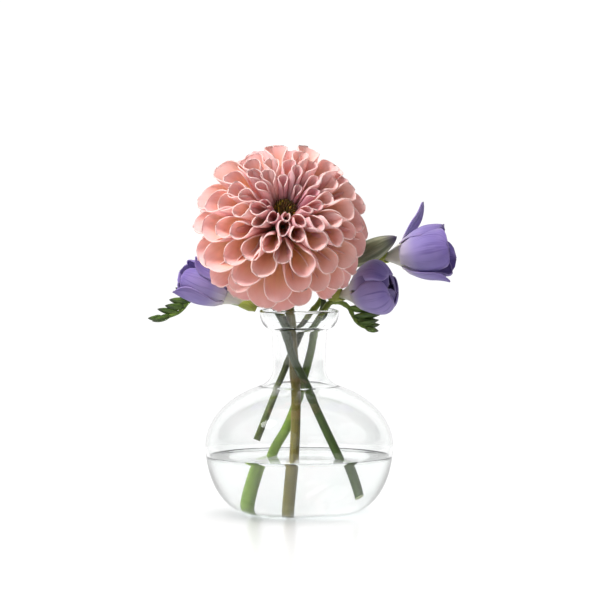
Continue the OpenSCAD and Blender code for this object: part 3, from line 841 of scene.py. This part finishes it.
freesia("a", [-24.2, 6.6, 109.8], [-37, -1, 17], 43, 10.5, 8,
        [[-8.8, -0.8, 104.5], [-11.6, 2, 109], [-17, 5.4, 111.4], [-24.6, 9, 111.2], [-34, 15, 111.6],
         [-46, 18.5, 115], [-54.5, 17, 115.4], [-59.4, 14, 112.4], [-65, 12, 106.6], [-73, 11, 104]],
        (1.7, 0.8),
        [dict(width=19, out=1.2, flare=0.4, turn=20, curl=0.6, wave=0.9),
         dict(width=16, out=1.2, flare=1.6, turn=150, curl=1.8, wave=0.7, reach=0.94),
         dict(width=20, out=1.2, flare=0.6, turn=268, curl=-0.6, wave=1.0, reach=1.03)],
        [dict(width=17, out=0, flare=0.2, turn=85, curl=-2),
         dict(width=16, out=0, flare=0.6, turn=205, curl=-1),
         dict(width=17, out=0, flare=0, turn=325, curl=-2)],
        buds=[[13, [-9.5, -1, 5.8], 2.1], [14, [-10.6, -2, 1.2], 1.9], [15, [-10.2, -2.4, 1], 1.8],
              [16, [-11.4, 0.6, 2], 1.7], [17, [-9.6, -2, -2.8], 1.6], [18, [-8.4, 0.8, -0.4], 1.5]])
freesia("b", [17.4, 2.2, 115.6], [31, -15, 6.5], 38, 14, 7,
        [[11.2, 2.4, 104.5], [13.6, 2.8, 109], [17, 3.4, 112.6], [22, 5, 112.4], [26.6, 5, 109.6],
         [29, 3.4, 105], [31.6, 1.4, 101.4], [35.4, 0.4, 99.2]], (1.7, 0.8),
        [dict(width=26, out=1.2, flare=0.8, turn=62, curl=-5, wave=1.0, reach=0.97),
         dict(width=31, out=1.2, flare=0.8, turn=190, curl=-8, wave=0.7, tilt=0.08),
         dict(width=27, out=1.2, flare=0.6, turn=305, curl=-4, wave=1.1, reach=1.02)],
        # painted shade: the inner tepals of this nearly closed floret are darkened to stand in for the
        # shade between its outer tepals
        [dict(width=21, out=0, flare=-1, turn=110, curl=-8, dark=0.55),
         dict(width=21, out=0, flare=-1, turn=235, curl=-9, dark=0.55),
         dict(width=21, out=0, flare=-1, turn=350, curl=-9, dark=0.55)],
        buds=[[8, [15, -1, -1], 2], [10, [15, -3, 1.6], 1.9], [11, [11, 1.5, 0.4], 1.7],
              [12, [11, -1.6, 2], 1.6], [13, [9.5, 3, 0.6], 1.6], [14, [7, -1, -1.8], 1.5]])
freesia("c", [39.5, 23, 135], [34, -7, 5], 43, 13.6, 9,
        [[3.4, 8.8, 102], [6.2, 11, 106.6], [10, 14, 111], [14, 17, 117], [17.6, 19.6, 124.6],
         [22.6, 21.6, 130.5], [30, 23, 133.4], [38.2, 23.2, 134.8]], (1.65, 1.3),
        [dict(width=26, out=1.2, flare=4, turn=70, curl=1, wave=1.2),
         dict(width=10, out=1.2, flare=16, turn=148, curl=3, reach=0.7, wave=0.2),
         dict(width=15, out=1.2, flare=3.5, turn=345, curl=2, wave=0.6, reach=0.97)],
        [dict(width=27, out=0, flare=3.2, turn=30, curl=1, wave=1.0, reach=0.96),
         dict(width=29, out=0, flare=2.4, turn=165, curl=-0.5, wave=1.1, reach=0.95),
         dict(width=34, out=0.6, flare=2, turn=268, curl=-1, wave=1.0, reach=1.04)],
        big_bud=[[25, 18.5, 133], [52.5, 12.5, 147.5], 6.2])

a_leaf = [[-6.8, -5.2, 91.5], [-7.8, -4.9, 96], [-9.2, -3.9, 101], [-11.8, -2.4, 106], [-14.8, -1.2, 111]]
b_leaf = [[10.9, 4.2, 101.8], [12.6, 4.8, 106], [13.2, 6.2, 111], [12.4, 7.6, 116]]
for body, points, width, face in (("freesia_a", a_leaf, 4.6, [0.7, 0.8, 0.2]),
                                  ("freesia_b", b_leaf, 5, [0.2, 1, 0.1])):
    leaf = Parts()
    blade(leaf, points, width, 0.5, face, 0.3, 0.1)
    leaf.object(body + "_blade", LEAF, body, [body + "_leaf"])


# ---------- Floor, light and camera ----------
def floor_material():
    n = new_material("floor")
    shade = n.mix(n.step(n.noise(3.0, 1.0), 0.3, 0.7), (0.89, 0.89, 0.89, 1.0), (0.91, 0.91, 0.91, 1.0))
    return n.finish(n.principled(shade, 0.24, Specular_IOR_Level=0.16))


FLOOR_SIDE = 0.4        # metres
FLOOR_FRONT = -0.6
FLOOR_BACK = 0.4
corners = [(-FLOOR_SIDE, FLOOR_FRONT, 0), (FLOOR_SIDE, FLOOR_FRONT, 0),
           (FLOOR_SIDE, FLOOR_BACK, 0), (-FLOOR_SIDE, FLOOR_BACK, 0)]
ground = bpy.data.meshes.new("ground")
ground.from_pydata(corners, [], [(0, 1, 2, 3)])
ground.materials.append(floor_material())
floor = bpy.data.objects.new("ground", ground)
bpy.context.scene.collection.objects.link(floor)


def lamp(name, place, target, size, power, floor_state, glossy=True):
    """A disc lamp. floor_state is INCLUDE for a lamp that only the floor receives, and EXCLUDE for one that
    everything but the floor receives. glossy is whether the lamp shows in reflections."""
    data = bpy.data.lights.new(name, "AREA")
    data.shape = "DISK"
    data.size = size
    data.energy = power
    obj = bpy.data.objects.new(name, data)
    receivers = bpy.data.collections.new(name + " receivers")
    receivers.objects.link(floor)
    receivers.collection_objects[0].light_linking.link_state = floor_state
    obj.light_linking.receiver_collection = receivers
    obj.visible_glossy = glossy
    obj.location = place
    obj.rotation_mode = "QUATERNION"
    obj.rotation_quaternion = (Vector(target) - Vector(place)).to_track_quat("-Z", "Y")
    bpy.context.scene.collection.objects.link(obj)


MIDDLE = (0, 0, 0.12)
lamp("key", (-0.55, -0.3, 0.95), MIDDLE, 0.3, 15.0, "EXCLUDE", glossy=False)
lamp("fill", (-0.6, -1.1, 0.6), MIDDLE, 1.4, 4.6, "EXCLUDE", glossy=False)
lamp("side", (0.95, -0.2, 0.6), MIDDLE, 0.8, 1.6, "EXCLUDE", glossy=False)
lamp("wash", (0, 0, 1.2), (0, 0, 0), 1.6, 23.5, "INCLUDE")


def sky():
    """White at the back, dark at the sides and the front. The camera itself sees plain white."""
    world = bpy.data.worlds.new("sky")
    bpy.context.scene.world = world
    n = Nodes(world)
    way = n.node("ShaderNodeSeparateXYZ")
    n.set(way.inputs[0], n.node("ShaderNodeTexCoord").outputs["Generated"])
    back = n.step(way.outputs[1], 0.35, 0.85, 0.11, 1.05)
    left = n.step(way.outputs[0], 0.2, -0.9, 0.0, 0.06)
    top = n.step(way.outputs[2], 0.1, 0.95, 0.0, 0.12)
    light = n.math("MINIMUM", n.math("ADD", n.math("ADD", back, left), top), 1.05)
    seen = n.node("ShaderNodeLightPath").outputs["Is Camera Ray"]
    strength = n.math("MAXIMUM", light, seen)
    shader = n.node("ShaderNodeBackground")
    shader.inputs["Color"].default_value = WHITE
    n.set(shader.inputs["Strength"], strength)
    n.set(n.node("ShaderNodeOutputWorld").inputs["Surface"], shader.outputs[0])


sky()

camera_data = bpy.data.cameras.new("camera")
camera_data.lens = 200
camera_data.sensor_width = 36
camera_data.clip_start = 0.05
camera_data.clip_end = 50
camera = bpy.data.objects.new("camera", camera_data)
camera.location = (0, -1.777, 0.196)
camera.rotation_mode = "QUATERNION"
looks_at = Vector((0.0004, 0, 0.114))
camera.rotation_quaternion = (looks_at - camera.location).to_track_quat("-Z", "Y")
bpy.context.scene.collection.objects.link(camera)

scene = bpy.context.scene
scene.camera = camera
scene.view_settings.view_transform = "Standard"
scene.view_settings.look = "None"
scene.cycles.use_denoising = True
scene.cycles.max_bounces = 20
scene.cycles.transmission_bounces = 16
scene.cycles.transparent_max_bounces = 16
scene.cycles.diffuse_bounces = 5
scene.cycles.glossy_bounces = 6
